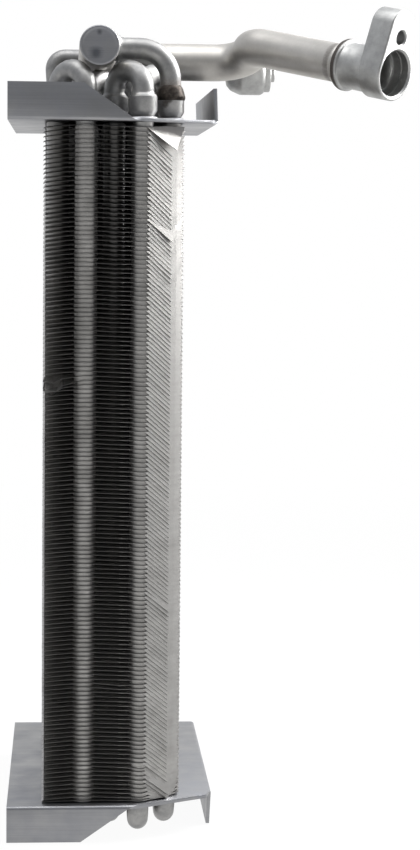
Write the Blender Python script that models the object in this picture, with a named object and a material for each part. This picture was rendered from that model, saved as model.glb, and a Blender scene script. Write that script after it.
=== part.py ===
"""Evaporator core: a finned block of hairpin tubes between two folded end plates, with its pipework on top."""

import math

import bmesh
import bpy
from mathutils import Matrix, Vector

MM = 0.001

# Driving dimensions of the tube lattice
ROWS = 5                          # tube rows from the left face to the right face
TUBES_PER_ROW = 6
ROW_PITCH = 12.7 * MM             # across the core, along X
TUBE_PITCH = 25.4 * MM            # along one row, along Y
STAGGER = (0.75, 0.25)            # place of the first tube in an even and in an odd row, in tube pitches
TUBE_DIAMETER = 9.52 * MM
CLEARANCE = 0.3 * MM              # between a tube and whatever it passes through or seats in
HAIRPIN_DROP = 12.7 * MM          # from the bottom plate's fin side to the lowest centre line of a hairpin

# Driving dimensions of the fins
CORE_LENGTH = 309.5 * MM          # between the fin sides of the two end plates
FIN_PITCH = 2.032 * MM
FIN_THICKNESS = 0.4 * MM
FIN_LAND = 0.9 * MM               # how far a fin stands out of the solid middle of the pack
END_GAP = 1.3 * MM                # from an end plate to the first fin
FOLD_FRONT = 17.6 * MM            # the bent corner of each fin, measured along its front edge
FOLD_SIDE = 16.0 * MM             # and along its right edge
FOLD_ANGLE = math.radians(72.0)
FOLD_SHARE = 0.55                 # near the bottom plate a corner bends down at most this share of its height

# Driving dimensions of the end plates
PLATE_THICKNESS = 1.6 * MM
PACK_LEFT = 15.8 * MM             # from the plate's left edge to the fins
PACK_FRONT = 5.1 * MM             # from the plate's front edge to the fins, and the same at the rear
RIGHT_MARGIN = 15.7 * MM          # from the fins to the plate's right edge
FLANGE_HEIGHT = 16.7 * MM         # from the fin side of the plate to the free edge
FLANGE_TOP = 33.6 * MM            # length of the front flange's free edge
FLANGE_FOOT = 57.3 * MM           # length of the front flange's fold
RELIEF = 1.8 * MM                 # step back of the plate's edge where that fold ends
TAB_SETBACK = 27.9 * MM           # where the right flange starts, behind the front flange
CORNER_SETBACK = 18.5 * MM        # where the slanted front edge meets the right-hand corner
CORNER_WIDTH = 3.0 * MM

# Driving dimensions of the tube sockets and bends
SOCKET_WALL = 1.2 * MM
SOCKET_TOP = 10.2 * MM            # above the outer face of the top plate
LOW_SOCKET_TOP = 8.0 * MM         # the same, where a bend runs under the manifold
SOCKET_DEPTH = 7.0 * MM
SEAT_DEPTH = 6.0 * MM             # how far a bend or branch enters its socket
BEND_RISE = 2.3 * MM              # straight length of a return bend above its socket
LOW_BEND_RISE = 0.4 * MM
TUBE_SIDES = 8
FLAT_WITHIN = math.radians(0.05)  # a face that is less flat than this is divided
BEND_STEPS = 5
SAME_POINT = 0.3 * MM             # points of a centre line closer than this are one point

# Driving dimensions of the suction line
MANIFOLD_DIAMETER = 18.0 * MM
MANIFOLD_WALL = 1.5 * MM
MANIFOLD_OFFSET = 7.05 * MM       # of its axis to the left of the middle of the fins
MANIFOLD_HEIGHT = 32.0 * MM       # of its axis above the outer face of the top plate
MANIFOLD_INSET = 2.9 * MM         # its front end behind the front of the fins
MANIFOLD_OVERRUN = 7.75 * MM      # its rear end behind the last branch
CAP_RECESS = 0.8 * MM
CAP_THICKNESS = 2.0 * MM
BRANCH_RADIUS = 14.3 * MM         # centre line of a branch tube's bend
COPE_GAP = 0.5 * MM
COLLAR_HEIGHT = 4.8 * MM
COLLAR_FOOT = 6.6 * MM            # outer radius at the foot of the cone
COLLAR_HEAD = 5.5 * MM
PIPE_SIDES = 16
SUCTION_INSET = 17.75 * MM        # where the suction tube leaves the manifold, in front of the last branch
SUCTION_REACH = 19.6 * MM         # where it turns towards the front, beyond the plate's right edge
SUCTION_BEND = 17.0 * MM
PORT_REACH = 80.1 * MM            # centre of the port, beyond the plate's right edge
SUCTION_SWING = 86.0 * MM         # and in front of where the tube leaves the manifold
PORT_DROP = 9.9 * MM              # and below the manifold's axis
PORT_BEARING = math.radians(45.3) # which way the port faces, from the right towards the front
PORT_DIP = math.radians(10.8)     # and how far down

# Driving dimensions of the suction block
BLOCK_THICKNESS = 12.3 * MM
BLOCK_RADIUS = 12.5 * MM          # round end about the port
BLOCK_HEAD_RADIUS = 8.6 * MM      # round end beyond the bolt hole
BLOCK_HEAD_OFFSET = 20.5 * MM
BOLT_OFFSET = 16.3 * MM
BOLT_RADIUS = 3.25 * MM
PORT_RADIUS = 10.5 * MM
PORT_DEPTH = 9.0 * MM
PORT_STEP_RADIUS = 8.7 * MM
PORT_STEP_DEPTH = 15.0 * MM
PASSAGE_RADIUS = 7.5 * MM
BOSS_RADIUS = 10.7 * MM
BOSS_LIP_RADIUS = 12.0 * MM
BOSS_LIP = 3.6 * MM               # length of the lip at the tube's end
BOSS_LENGTH = 17.2 * MM
BOSS_SOCKET = 7.5 * MM            # depth of the socket that takes the tube
RING_RADIUS = 11.2 * MM
RING_WIDTH = 1.6 * MM

# Driving dimensions of the liquid line
HEADER_HEIGHT = 10.0 * MM         # axis above the top plate's outer face
HEADER_OVERRUN = 6.7 * MM         # its ends beyond the first and last tube that feed it
FEED_RADIUS = 9.5 * MM            # centre line of a tube end bent over into the header
LIQUID_DIAMETER = 7.94 * MM
LIQUID_INSET = 12.15 * MM         # of the liquid tube in front of the last tube that the header feeds
LIQUID_HEIGHT = 35.8 * MM         # of the run across the core, above the top plate's outer face
LIQUID_STEP = 16.0 * MM           # length of its step down to the fitting
LIQUID_STEP_END = 2.8 * MM        # from the end of that step to the fitting
LIQUID_BEND = 6.0 * MM
FITTING_HEIGHT = 30.1 * MM
FITTING_REACH = 11.8 * MM         # the fitting's root, beyond the plate's right edge
FITTING_SIDES = 16
FITTING_RADIUS = 11.8 * MM
FITTING_BODY = 18.9 * MM          # length of the body with its rounded shoulder
FITTING_SHOULDER = 6.8 * MM
FITTING_EDGE = 1.4 * MM
FITTING_RING_RADIUS = 10.3 * MM
FITTING_RING = 3.0 * MM
SPIGOT_RADIUS = 5.1 * MM
SPIGOT_LENGTH = 2.3 * MM
SPIGOT_BORE = 3.6 * MM
SPIGOT_DEPTH = 10.2 * MM

# Worked out from the driving dimensions
TUBE_RADIUS = TUBE_DIAMETER / 2
SOCKET_BORE = TUBE_RADIUS + CLEARANCE
SOCKET_RADIUS = SOCKET_BORE + SOCKET_WALL
PACK_WIDTH = ROWS * ROW_PITCH
PACK_DEPTH = TUBES_PER_ROW * TUBE_PITCH
PACK_RIGHT = PACK_LEFT + PACK_WIDTH
PACK_REAR = PACK_FRONT + PACK_DEPTH
PLATE_WIDTH = PACK_RIGHT + RIGHT_MARGIN
PLATE_DEPTH = PACK_REAR + PACK_FRONT
FIN_COUNT = int((CORE_LENGTH - 2 * END_GAP - FIN_THICKNESS) / FIN_PITCH) + 1
FIRST_FIN = (CORE_LENGTH - (FIN_COUNT - 1) * FIN_PITCH) / 2
PLATE_TOP = CORE_LENGTH + PLATE_THICKNESS
SOCKET_RIM = PLATE_TOP + SOCKET_TOP
LOW_SOCKET_RIM = PLATE_TOP + LOW_SOCKET_TOP
HEADER_X = PACK_LEFT + ROW_PITCH / 2 - FEED_RADIUS - COPE_GAP - TUBE_RADIUS
MANIFOLD_RADIUS = MANIFOLD_DIAMETER / 2
MANIFOLD_X = (PACK_LEFT + PACK_RIGHT) / 2 - MANIFOLD_OFFSET
MANIFOLD_Z = PLATE_TOP + MANIFOLD_HEIGHT
LAST_BRANCH_Y = PACK_FRONT + (TUBES_PER_ROW - 2 + STAGGER[0]) * TUBE_PITCH
FIRST_FEED_Y = PACK_FRONT + (1 + STAGGER[0]) * TUBE_PITCH
LAST_FEED_Y = PACK_FRONT + (TUBES_PER_ROW - 1 + STAGGER[0]) * TUBE_PITCH
MANIFOLD_FRONT = PACK_FRONT + MANIFOLD_INSET
MANIFOLD_REAR = LAST_BRANCH_Y + MANIFOLD_OVERRUN
SUCTION_Y = LAST_BRANCH_Y - SUCTION_INSET
SUCTION_KNEE_X = PLATE_WIDTH + SUCTION_REACH
PORT_AXIS = Vector((math.cos(PORT_BEARING) * math.cos(PORT_DIP), -math.sin(PORT_BEARING) * math.cos(PORT_DIP),
                    -math.sin(PORT_DIP)))
PORT_X = PLATE_WIDTH + PORT_REACH
PORT_Y = SUCTION_Y - SUCTION_SWING
PORT_Z = MANIFOLD_Z - PORT_DROP
HEADER_FRONT = FIRST_FEED_Y - HEADER_OVERRUN
HEADER_REAR = LAST_FEED_Y + HEADER_OVERRUN
LIQUID_Y = LAST_FEED_Y - LIQUID_INSET
FITTING_X = PLATE_WIDTH + FITTING_REACH

COLOURS = {
    "fin": (0.52, 0.52, 0.50),
    "plate": (0.56, 0.56, 0.55),
    "tube": (0.60, 0.60, 0.60),
    "pipe": (0.64, 0.63, 0.61),
    "block": (0.68, 0.68, 0.67),
    "braze": (0.22, 0.20, 0.18),
}
ROUGHNESS = {"fin": 0.35, "plate": 0.4, "tube": 0.38, "pipe": 0.32, "block": 0.42, "braze": 0.7}


def clear_scene():
    for obj in list(bpy.data.objects):
        bpy.data.objects.remove(obj, do_unlink=True)


def make_material(name, finish):
    """A mill finish aluminium, or the darker braze."""
    material = bpy.data.materials.new(name)
    material.use_nodes = True
    shader = material.node_tree.nodes["Principled BSDF"]
    shader.inputs["Base Color"].default_value = (*COLOURS[finish], 1.0)
    shader.inputs["Metallic"].default_value = 0.3 if finish == "braze" else 1.0
    shader.inputs["Roughness"].default_value = ROUGHNESS[finish]
    return material


def add_object(name, bm, finish, parent=None):
    """Turn a bmesh into a named object with its own material."""
    bmesh.ops.connect_verts_nonplanar(bm, angle_limit=FLAT_WITHIN, faces=bm.faces)
    bmesh.ops.recalc_face_normals(bm, faces=bm.faces)
    if bm.calc_volume(signed=True) < 0:
        bmesh.ops.reverse_faces(bm, faces=bm.faces)
    mesh = bpy.data.meshes.new(name)
    bm.to_mesh(mesh)
    bm.free()
    obj = bpy.data.objects.new(name, mesh)
    bpy.context.scene.collection.objects.link(obj)
    if finish:
        mesh.materials.append(make_material(name + "_metal", finish))
    if parent:
        obj.parent = parent
    return obj


def shade_round(obj, angle=40.0):
    obj.data.shade_smooth()
    obj.data.set_sharp_from_angle(angle=math.radians(angle))


def as_cutter(obj):
    obj.hide_render = True
    obj.display_type = "WIRE"


def add_boolean(obj, other, operation):
    cut = obj.modifiers.new(operation.title(), "BOOLEAN")
    cut.operation = operation
    cut.solver = "EXACT"
    cut.object = other


def loft(bm, rings, cap_start=True, cap_end=True, close=False):
    """Skin a list of equal rings of points, with a face over each open end."""
    loops = [[bm.verts.new(point) for point in ring] for ring in rings]
    pairs = list(zip(loops, loops[1:]))
    if close:
        pairs.append((loops[-1], loops[0]))
    for lower, upper in pairs:
        for i, vertex in enumerate(lower):
            j = (i + 1) % len(lower)
            bm.faces.new((vertex, lower[j], upper[j], upper[i]))
    if cap_start:
        bm.faces.new(list(reversed(loops[0])))
    if cap_end:
        bm.faces.new(loops[-1])
    return loops


def circle(centre, normal, radius, sides, reference):
    """Points of a ring about a centre, turned so that a flat faces the reference direction."""
    normal = normal.normalized()
    first = (reference - normal * reference.dot(normal)).normalized()
    second = normal.cross(first)
    points = []
    for i in range(sides):
        turn = 2 * math.pi * (i + 0.5) / sides
        points.append(centre + first * (radius * math.cos(turn)) + second * (radius * math.sin(turn)))
    return points


def route(corners, radius, steps):
    """A centre line through the corners, each one rounded to the bend radius. Gives points and directions."""
    points = [(corners[0], (corners[1] - corners[0]).normalized())]
    for before, corner, after in zip(corners, corners[1:], corners[2:]):
        into = (corner - before).normalized()
        out = (after - corner).normalized()
        turn = into.angle(out)
        start = corner - into * (radius * math.tan(turn / 2))
        centre = start + (out - into * into.dot(out)).normalized() * radius
        axis = into.cross(out).normalized()
        for i in range(steps + 1):
            spin = Matrix.Rotation(turn * i / steps, 3, axis)
            points.append((centre + spin @ (start - centre), spin @ into))
    points.append((corners[-1], (corners[-1] - corners[-2]).normalized()))
    return merged(points)


def merged(line):
    """Drop points of a centre line that fall on the one before."""
    kept = [line[0]]
    for item in line[1:]:
        if (item[0] - kept[-1][0]).length > SAME_POINT:
            kept.append(item)
    return kept


def tube_rings(line, radius, sides, reference):
    """Rings along a centre line. The reference direction is carried along without twist."""
    rings = []
    previous = line[0][1]
    for point, direction in line:
        reference = previous.rotation_difference(direction) @ reference
        previous = direction
        rings.append(circle(point, direction, radius, sides, reference))
    return rings


def tube_place(row, index):
    """Centre of a tube in the lattice. Row 0 is on the left."""
    along = PACK_FRONT + (index + STAGGER[row % 2]) * TUBE_PITCH
    return Vector((PACK_LEFT + (row + 0.5) * ROW_PITCH, along, 0.0))


def socket_rim(row, index):
    """Height of a socket's rim. The rear tubes of rows 1 and 2 are joined under the manifold."""
    return LOW_SOCKET_RIM if row in (1, 2) and index % 2 == 1 else SOCKET_RIM


def all_tubes():
    return [tube_place(row, index) for row in range(ROWS) for index in range(TUBES_PER_ROW)]


def at_height(place, z):
    return Vector((place.x, place.y, z))


# The fin pack

def fin_outline():
    """Edge of one flat fin, seen from above, with the crease points of its bent corner."""
    crease_front = Vector((PACK_RIGHT - FOLD_FRONT, PACK_FRONT, 0.0))
    corner = Vector((PACK_RIGHT, PACK_FRONT, 0.0))
    crease_side = Vector((PACK_RIGHT, PACK_FRONT + FOLD_SIDE, 0.0))
    return [
        Vector((PACK_LEFT, PACK_FRONT, 0.0)),
        crease_front,
        corner,
        crease_side,
        Vector((PACK_RIGHT, PACK_REAR, 0.0)),
        Vector((PACK_LEFT, PACK_REAR, 0.0)),
    ]


def middle_outline(outline):
    """Edge of the solid middle of the pack, drawn in by the fins' land and cut back to the crease."""
    left, front, right, rear = PACK_LEFT + FIN_LAND, PACK_FRONT + FIN_LAND, PACK_RIGHT - FIN_LAND, PACK_REAR - FIN_LAND
    crease = (outline[3] - outline[1]).normalized()
    inset = Vector((-crease.y, crease.x, 0.0)) * (FIN_LAND / 4)
    return [
        Vector((left, front, 0.0)),
        outline[1] + crease * (FIN_LAND / crease.y) + inset,
        (outline[1] + outline[3]) / 2 + inset,
        outline[3] - crease * (FIN_LAND / crease.x) + inset,
        Vector((right, rear, 0.0)),
        Vector((left, rear, 0.0)),
    ]


def bent_corner(outline, height):
    """Where the corner of a fin at this height lands when it is bent down about its crease."""
    start, corner, end = outline[1], outline[2], outline[3]
    crease = (end - start).normalized()
    foot = start + crease * (corner - start).dot(crease)
    reach = corner - foot
    drop = min(reach.length * math.sin(FOLD_ANGLE), FOLD_SHARE * height)
    angle = math.asin(drop / reach.length)
    if drop >= reach.length * math.sin(FOLD_ANGLE):
        angle = FOLD_ANGLE
    return foot + reach * math.cos(angle) - Vector((0.0, 0.0, drop))


def split_at_crease(bm, middle, fin):
    """Divide the two faces beside a bent corner so that they fold along the crease."""
    for side in (1, 3):
        corners = {middle[2], middle[side], fin[2], fin[side]}
        face = next(face for face in middle[2].link_faces if set(face.verts) == corners)
        bmesh.utils.face_split(face, middle[2], fin[side])


def make_fin_pack(parent):
    outline = fin_outline()
    middle = middle_outline(outline)
    rings = []
    for k in range(FIN_COUNT):
        height = FIRST_FIN + k * FIN_PITCH
        fin = [point.copy() for point in outline]
        fin[2] = bent_corner(outline, height)
        for z, ring in ((-FIN_THICKNESS / 2, middle), (-FIN_THICKNESS / 2, fin), (FIN_THICKNESS / 2, fin),
                        (FIN_THICKNESS / 2, middle)):
            rings.append([point + Vector((0.0, 0.0, height + z)) for point in ring])
    bm = bmesh.new()
    loops = loft(bm, rings)
    for k in range(FIN_COUNT):
        lower_middle, lower_fin, upper_fin, upper_middle = loops[4 * k:4 * k + 4]
        split_at_crease(bm, lower_middle, lower_fin)
        split_at_crease(bm, upper_middle, upper_fin)
    pack = add_object("fin_pack", bm, "fin", parent)
    cutter = make_tube_cutter("fin_pack_bores", 0.0, CORE_LENGTH, SOCKET_BORE, parent)
    add_boolean(pack, cutter, "DIFFERENCE")
    return pack


def make_tube_cutter(name, bottom, top, radius, parent):
    """One upright prism for each tube of the lattice."""
    bm = bmesh.new()
    for place in all_tubes():
        rings = [circle(at_height(place, z), Vector((0, 0, 1)), radius, TUBE_SIDES, Vector((1, 0, 0)))
                 for z in (bottom, top)]
        loft(bm, rings)
    cutter = add_object(name, bm, None, parent)
    as_cutter(cutter)
    return cutter


# The end plates

def plate_outline():
    """The flat of an end plate, seen from above, front edge first."""
    return [
        Vector((0.0, 0.0, 0.0)),
        Vector((FLANGE_FOOT, 0.0, 0.0)),
        Vector((FLANGE_FOOT, RELIEF, 0.0)),
        Vector((PLATE_WIDTH - CORNER_WIDTH, CORNER_SETBACK, 0.0)),
        Vector((PLATE_WIDTH, TAB_SETBACK, 0.0)),
        Vector((PLATE_WIDTH, PLATE_DEPTH, 0.0)),
        Vector((0.0, PLATE_DEPTH, 0.0)),
    ]


def make_end_plate(name, level, away, parent):
    """A stamped sheet with a front flange and a right-hand flange, both folded away from the fins."""
    bm = bmesh.new()
    flat = [bm.verts.new(point + Vector((0, 0, level))) for point in plate_outline()]
    rise = Vector((0, 0, away * FLANGE_HEIGHT))
    slant = Vector((FLANGE_FOOT - FLANGE_TOP, 0, 0))
    flange = [bm.verts.new(flat[1].co + rise - slant), bm.verts.new(flat[0].co + rise)]
    tab = [bm.verts.new(flat[5].co + rise), bm.verts.new(flat[4].co + rise)]
    faces = [bm.faces.new(flat), bm.faces.new([flat[0], flat[1]] + flange), bm.faces.new([flat[4], flat[5]] + tab)]
    bm.normal_update()
    bmesh.ops.recalc_face_normals(bm, faces=bm.faces)
    if faces[0].normal.z * away > 0:
        bmesh.ops.reverse_faces(bm, faces=bm.faces)
    mesh = bpy.data.meshes.new(name)
    bm.to_mesh(mesh)
    bm.free()
    plate = bpy.data.objects.new(name, mesh)
    bpy.context.scene.collection.objects.link(plate)
    mesh.materials.append(make_material(name + "_metal", "plate"))
    plate.parent = parent
    sheet = plate.modifiers.new("Sheet", "SOLIDIFY")
    sheet.thickness = PLATE_THICKNESS
    sheet.offset = -1.0
    sheet.solidify_mode = "NON_MANIFOLD"
    sheet.nonmanifold_thickness_mode = "CONSTRAINTS"
    reach = 3 * PLATE_THICKNESS
    cutter = make_tube_cutter(name + "_holes", level - reach, level + reach, SOCKET_BORE, parent)
    add_boolean(plate, cutter, "DIFFERENCE")
    return plate


# The hairpin tubes and their bends

def socket_rings(row, index):
    """Rings from the floor of a belled tube end, up its bore, over the rim and down to the plain tube."""
    place = tube_place(row, index)
    rim = socket_rim(row, index)
    foot = PLATE_TOP + CLEARANCE
    profile = [
        (rim - SOCKET_DEPTH, SOCKET_BORE),
        (rim, SOCKET_BORE),
        (rim, SOCKET_RADIUS),
        (foot + SOCKET_WALL, SOCKET_RADIUS),
        (foot, TUBE_RADIUS),
    ]
    return [circle(at_height(place, z), Vector((0, 0, 1)), r, TUBE_SIDES, Vector((1, 0, 0))) for z, r in profile]


def make_hairpin(name, row, pair, parent):
    """One U-shaped tube through two neighbouring places of a row. In the left row its rear end feeds the header."""
    near, far = tube_place(row, 2 * pair), tube_place(row, 2 * pair + 1)
    half = TUBE_PITCH / 2
    lowest = -PLATE_THICKNESS - half
    bottom = [at_height(near, 0.0), at_height(near, lowest), at_height(far, lowest), at_height(far, 0.0)]
    line = flattened(route(bottom, half, BEND_STEPS)[1:-1], (HAIRPIN_DROP - PLATE_THICKNESS) / half)
    reference = Vector((1, 0, 0))
    bend = [circle(point, direction, TUBE_RADIUS, TUBE_SIDES, reference) for point, direction in line]
    rings = [turned(ring, bend[0]) for ring in socket_rings(row, 2 * pair)] + bend
    if row == 0:
        elbow_top = PLATE_TOP + HEADER_HEIGHT
        over = [at_height(far, 0.0), at_height(far, elbow_top), at_height(far, elbow_top)]
        over[2].x = HEADER_X
        elbow = route(over, FEED_RADIUS, BEND_STEPS)[1:-1]
        rings += tube_rings(elbow, TUBE_RADIUS, TUBE_SIDES, reference)
    else:
        for ring in reversed(socket_rings(row, 2 * pair + 1)):
            rings.append(turned(ring, rings[-1]))
    bm = bmesh.new()
    loft(bm, rings)
    obj = add_object(name, bm, "tube", parent)
    shade_round(obj)
    return obj


def flattened(line, share):
    """Draw a bend under the bottom plate up to a share of its depth."""
    drawn = []
    for point, direction in line:
        place = at_height(point, -PLATE_THICKNESS + (point.z + PLATE_THICKNESS) * share)
        drawn.append((place, at_height(direction, direction.z * share).normalized()))
    return drawn


def turned(ring, before):
    """The same ring, started and ordered so that it meets the ring beside it without a twist."""
    best = None
    for order in (ring, list(reversed(ring))):
        for shift in range(len(ring)):
            trial = order[shift:] + order[:shift]
            cost = sum((a - b).length for a, b in zip(trial, before))
            if best is None or cost < best[0]:
                best = (cost, trial)
    return best[1]


def cope(ring, axis_point, radius):
    """Move the points of a tube's end, which runs along X, onto a round tube that runs along Y."""
    side = 1.0 if ring[0].x > axis_point.x else -1.0
    shaped = []
    for point in ring:
        rise = point.z - axis_point.z
        reach = math.sqrt(max((radius + COPE_GAP) ** 2 - rise ** 2, 0.0))
        shaped.append(Vector((axis_point.x + side * reach, point.y, point.z)))
    return shaped


def make_return_bend(name, start, end, parent):
    """A half-circle bend between two sockets, each given by its row and index."""
    first, second = tube_place(*start), tube_place(*end)
    rim = socket_rim(*start)
    seat = rim - SEAT_DEPTH
    rise = rim + (LOW_BEND_RISE if rim < SOCKET_RIM else BEND_RISE)
    radius = (second - first).length / 2
    corners = [at_height(first, seat), at_height(first, rise + radius), at_height(second, rise + radius),
               at_height(second, seat)]
    line = route(corners, radius, BEND_STEPS)
    rings = tube_rings(line, TUBE_RADIUS, TUBE_SIDES, Vector((1, 0, 0)))
    bm = bmesh.new()
    loft(bm, rings)
    obj = add_object(name, bm, "tube", parent)
    shade_round(obj)
    return obj


# The suction line

def make_manifold(parent):
    """A straight pipe along the core, open at its ends, with a recessed cap in each."""
    start = Vector((MANIFOLD_X, MANIFOLD_FRONT, MANIFOLD_Z))
    end = Vector((MANIFOLD_X, MANIFOLD_REAR, MANIFOLD_Z))
    axis = Vector((0, 1, 0))
    bore = MANIFOLD_RADIUS - MANIFOLD_WALL
    edge = MANIFOLD_WALL / 3
    profile = [(start, bore), (start, MANIFOLD_RADIUS - edge), (start + axis * edge, MANIFOLD_RADIUS),
               (end - axis * edge, MANIFOLD_RADIUS), (end, MANIFOLD_RADIUS - edge), (end, bore)]
    bm = bmesh.new()
    loft(bm, [circle(p, axis, r, PIPE_SIDES, Vector((0, 0, 1))) for p, r in profile], False, False, close=True)
    pipe = add_object("suction_manifold", bm, "pipe", parent)
    shade_round(pipe)
    plug = bore - CLEARANCE
    for name, face, inward in (("manifold_front_cap", start, axis), ("manifold_rear_cap", end, -axis)):
        outer = face + inward * CAP_RECESS
        bm = bmesh.new()
        loft(bm, [circle(p, axis, r, PIPE_SIDES, Vector((0, 0, 1))) for p, r in
                  ((outer, plug - edge), (outer + inward * edge, plug), (outer + inward * CAP_THICKNESS, plug))])
        shade_round(add_object(name, bm, "pipe", parent))


def make_branch(number, place, parent):
    """A tube from the manifold's right side, over and down into a socket, with a braze cone on the socket."""
    start = Vector((MANIFOLD_X + MANIFOLD_RADIUS, place.y, MANIFOLD_Z))
    corners = [start, at_height(place, MANIFOLD_Z), at_height(place, SOCKET_RIM - SEAT_DEPTH)]
    line = route(corners, BRANCH_RADIUS, BEND_STEPS + 1)
    rings = tube_rings(line, TUBE_RADIUS, TUBE_SIDES, Vector((0, 0, 1)))
    rings[0] = cope(rings[0], Vector((MANIFOLD_X, 0, MANIFOLD_Z)), MANIFOLD_RADIUS)
    bm = bmesh.new()
    loft(bm, rings, cap_start=False)
    close_with_fan(bm, Vector((MANIFOLD_X + MANIFOLD_RADIUS + COPE_GAP, place.y, MANIFOLD_Z)))
    shade_round(add_object("branch_tube_%d" % number, bm, "tube", parent))
    foot = SOCKET_RIM + CLEARANCE
    profile = [(foot, SOCKET_BORE), (foot, COLLAR_FOOT), (foot + COLLAR_HEIGHT, COLLAR_HEAD),
               (foot + COLLAR_HEIGHT, SOCKET_BORE)]
    bm = bmesh.new()
    loft(bm, [circle(at_height(place, z), Vector((0, 0, 1)), r, TUBE_SIDES, Vector((1, 0, 0))) for z, r in profile],
         False, False, close=True)
    shade_round(add_object("branch_collar_%d" % number, bm, "braze", parent))


def close_with_fan(bm, centre):
    """Close the open edge of a mesh with a fan of triangles about a point."""
    edges = [edge for edge in bm.edges if len(edge.link_faces) == 1]
    hub = bm.verts.new(centre)
    for edge in edges:
        bm.faces.new((edge.verts[0], edge.verts[1], hub))


def port_frame():
    """Place of the suction port: local Z out of its mouth, local Y up towards the bolt hole."""
    up = (Vector((0, 0, 1)) - PORT_AXIS * PORT_AXIS.z).normalized()
    side = up.cross(PORT_AXIS).normalized()
    frame = Matrix((side, up, PORT_AXIS)).transposed().to_4x4()
    frame.translation = Vector((PORT_X, PORT_Y, PORT_Z))
    return frame


def make_suction_tube(parent):
    """The hollow pipe from the manifold to the block: right, towards the front, then out to the port."""
    frame = port_frame()
    centre = frame.translation
    seat = centre - PORT_AXIS * (BLOCK_THICKNESS + BOSS_LENGTH - BOSS_SOCKET + CLEARANCE)
    reach = (centre.x - SUCTION_KNEE_X) / PORT_AXIS.x
    second_knee = centre - PORT_AXIS * reach
    first_knee = Vector((SUCTION_KNEE_X, SUCTION_Y, MANIFOLD_Z))
    corners = [Vector((MANIFOLD_X + MANIFOLD_RADIUS, SUCTION_Y, MANIFOLD_Z)), first_knee, second_knee, seat]
    line = route(corners, SUCTION_BEND, BEND_STEPS)
    reference = Vector((0, 0, 1))
    outer = tube_rings(line, MANIFOLD_RADIUS, PIPE_SIDES, reference)
    inner = tube_rings(line, MANIFOLD_RADIUS - MANIFOLD_WALL, PIPE_SIDES, reference)
    hub = Vector((MANIFOLD_X, 0, MANIFOLD_Z))
    outer[0] = cope(outer[0], hub, MANIFOLD_RADIUS)
    inner[0] = cope(inner[0], hub, MANIFOLD_RADIUS)
    bm = bmesh.new()
    loft(bm, outer + list(reversed(inner)), False, False, close=True)
    shade_round(add_object("suction_tube", bm, "pipe", parent))


def block_outline():
    """Two round ends joined by straight sides, in the port's own frame."""
    lean = math.asin((BLOCK_RADIUS - BLOCK_HEAD_RADIUS) / BLOCK_HEAD_OFFSET)
    steps = 10
    points = []
    for i in range(steps + 1):
        turn = lean + (math.pi - 2 * lean) * i / steps
        points.append(Vector((BLOCK_HEAD_RADIUS * math.cos(turn), BLOCK_HEAD_OFFSET + BLOCK_HEAD_RADIUS * math.sin(turn), 0)))
    for i in range(steps + 5):
        turn = math.pi - lean + (math.pi + 2 * lean) * i / (steps + 4)
        points.append(Vector((BLOCK_RADIUS * math.cos(turn), BLOCK_RADIUS * math.sin(turn), 0)))
    return points


def turned_cutter(name, profile, sides, parent):
    """A closed turned shape about local Z from (z, radius) steps, used to cut."""
    bm = bmesh.new()
    loft(bm, [circle(Vector((0, 0, z)), Vector((0, 0, 1)), r, sides, Vector((1, 0, 0))) for z, r in profile])
    cutter = add_object(name, bm, None, parent)
    as_cutter(cutter)
    return cutter


def make_suction_block(parent):
    """The port block: a teardrop plate with a boss behind it, a stepped bore and a bolt hole."""
    frame = port_frame()
    holder = bpy.data.objects.new("suction_port", None)
    bpy.context.scene.collection.objects.link(holder)
    holder.matrix_world = frame
    holder.parent = parent
    bm = bmesh.new()
    outline = block_outline()
    loft(bm, [[p + Vector((0, 0, z)) for p in outline] for z in (-BLOCK_THICKNESS, 0.0)])
    block = add_object("suction_block", bm, "block", holder)
    back = -(BLOCK_THICKNESS + BOSS_LENGTH)
    chamfer = MANIFOLD_WALL / 2
    boss = turned_cutter("suction_block_boss", [
        (back, BOSS_LIP_RADIUS - chamfer), (back + chamfer, BOSS_LIP_RADIUS), (back + BOSS_LIP, BOSS_LIP_RADIUS),
        (back + BOSS_LIP + chamfer, BOSS_RADIUS), (-BLOCK_THICKNESS / 2, BOSS_RADIUS)], 24, holder)
    add_boolean(block, boss, "UNION")
    over = BLOCK_THICKNESS
    bore = turned_cutter("suction_block_bore", [
        (back - over, MANIFOLD_RADIUS + CLEARANCE), (back + BOSS_SOCKET, MANIFOLD_RADIUS + CLEARANCE),
        (back + BOSS_SOCKET, PASSAGE_RADIUS), (-PORT_STEP_DEPTH, PASSAGE_RADIUS),
        (-PORT_STEP_DEPTH, PORT_STEP_RADIUS), (-PORT_DEPTH, PORT_STEP_RADIUS),
        (-PORT_DEPTH, PORT_RADIUS), (over, PORT_RADIUS)], 24, holder)
    add_boolean(block, bore, "DIFFERENCE")
    bolt = turned_cutter("suction_block_bolt_hole", [(-over - over, BOLT_RADIUS), (over, BOLT_RADIUS)], 16, holder)
    bolt.location.y = BOLT_OFFSET
    add_boolean(block, bolt, "DIFFERENCE")
    shade_round(block, 30.0)
    start = back - CLEARANCE
    bm = bmesh.new()
    bore_radius = MANIFOLD_RADIUS + CLEARANCE
    profile = [(start, bore_radius), (start, RING_RADIUS), (start - RING_WIDTH, bore_radius + CLEARANCE),
               (start - RING_WIDTH, bore_radius)]
    loft(bm, [circle(Vector((0, 0, z)), Vector((0, 0, 1)), r, PIPE_SIDES, Vector((1, 0, 0))) for z, r in profile],
         False, False, close=True)
    shade_round(add_object("suction_braze_ring", bm, "braze", holder))


# The liquid line

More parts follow.
